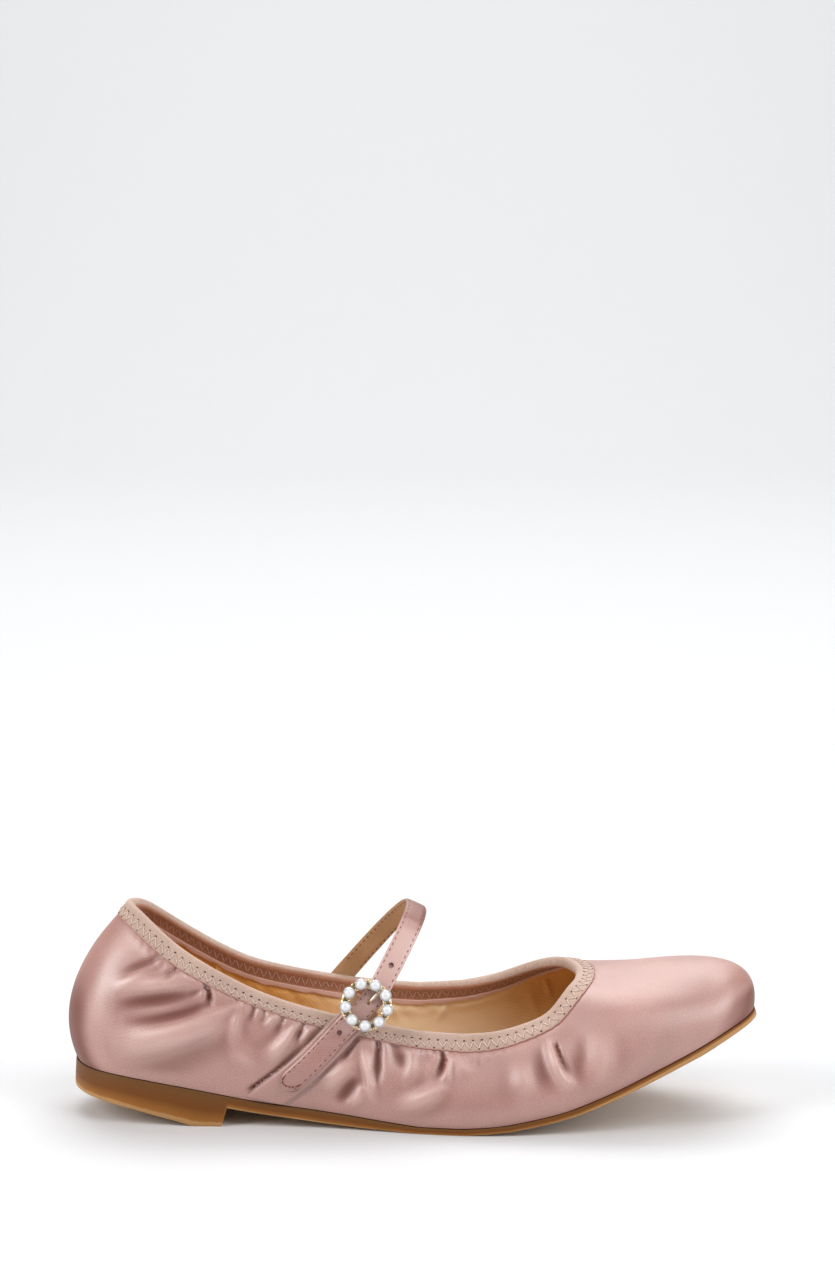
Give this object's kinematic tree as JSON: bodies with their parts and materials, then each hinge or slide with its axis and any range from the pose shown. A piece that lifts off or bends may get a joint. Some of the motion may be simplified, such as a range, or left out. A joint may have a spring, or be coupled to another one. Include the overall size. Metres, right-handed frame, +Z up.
{
  "type": "ballet flat",
  "caption": "Right-foot satin ballet flat with an elastic collar, an instep strap, a pearl ring buckle and a low moulded sole.",
  "frame": {"origin": "on the floor under the middle of the shoe's box", "axes": "+X towards the toe, +Y towards the inner side of the foot, +Z up"},
  "size_m": [0.2464, 0.0804, 0.076],
  "materials": {
    "gum_rubber": "smooth, slightly dull",
    "satin": "satin weave with a soft sheen",
    "insole_leather": "matte",
    "elastic": "matte, ribbed",
    "gold_metal": "polished pale gold",
    "pearl": "glossy pearl"
  },
  "bodies": {
    "root": {"outsole": "gum_rubber", "upper": "satin", "insole": "insole_leather", "collar_binding": "elastic", "strap": "satin", "strap_anchor": "satin", "buckle_frame": "gold_metal", "buckle_prong": "gold_metal", "pearl_1": "pearl", "pearl_2": "pearl", "pearl_3": "pearl", "pearl_4": "pearl", "pearl_5": "pearl", "pearl_6": "pearl", "pearl_7": "pearl", "pearl_8": "pearl", "pearl_9": "pearl"}
  },
  "joints": []
}
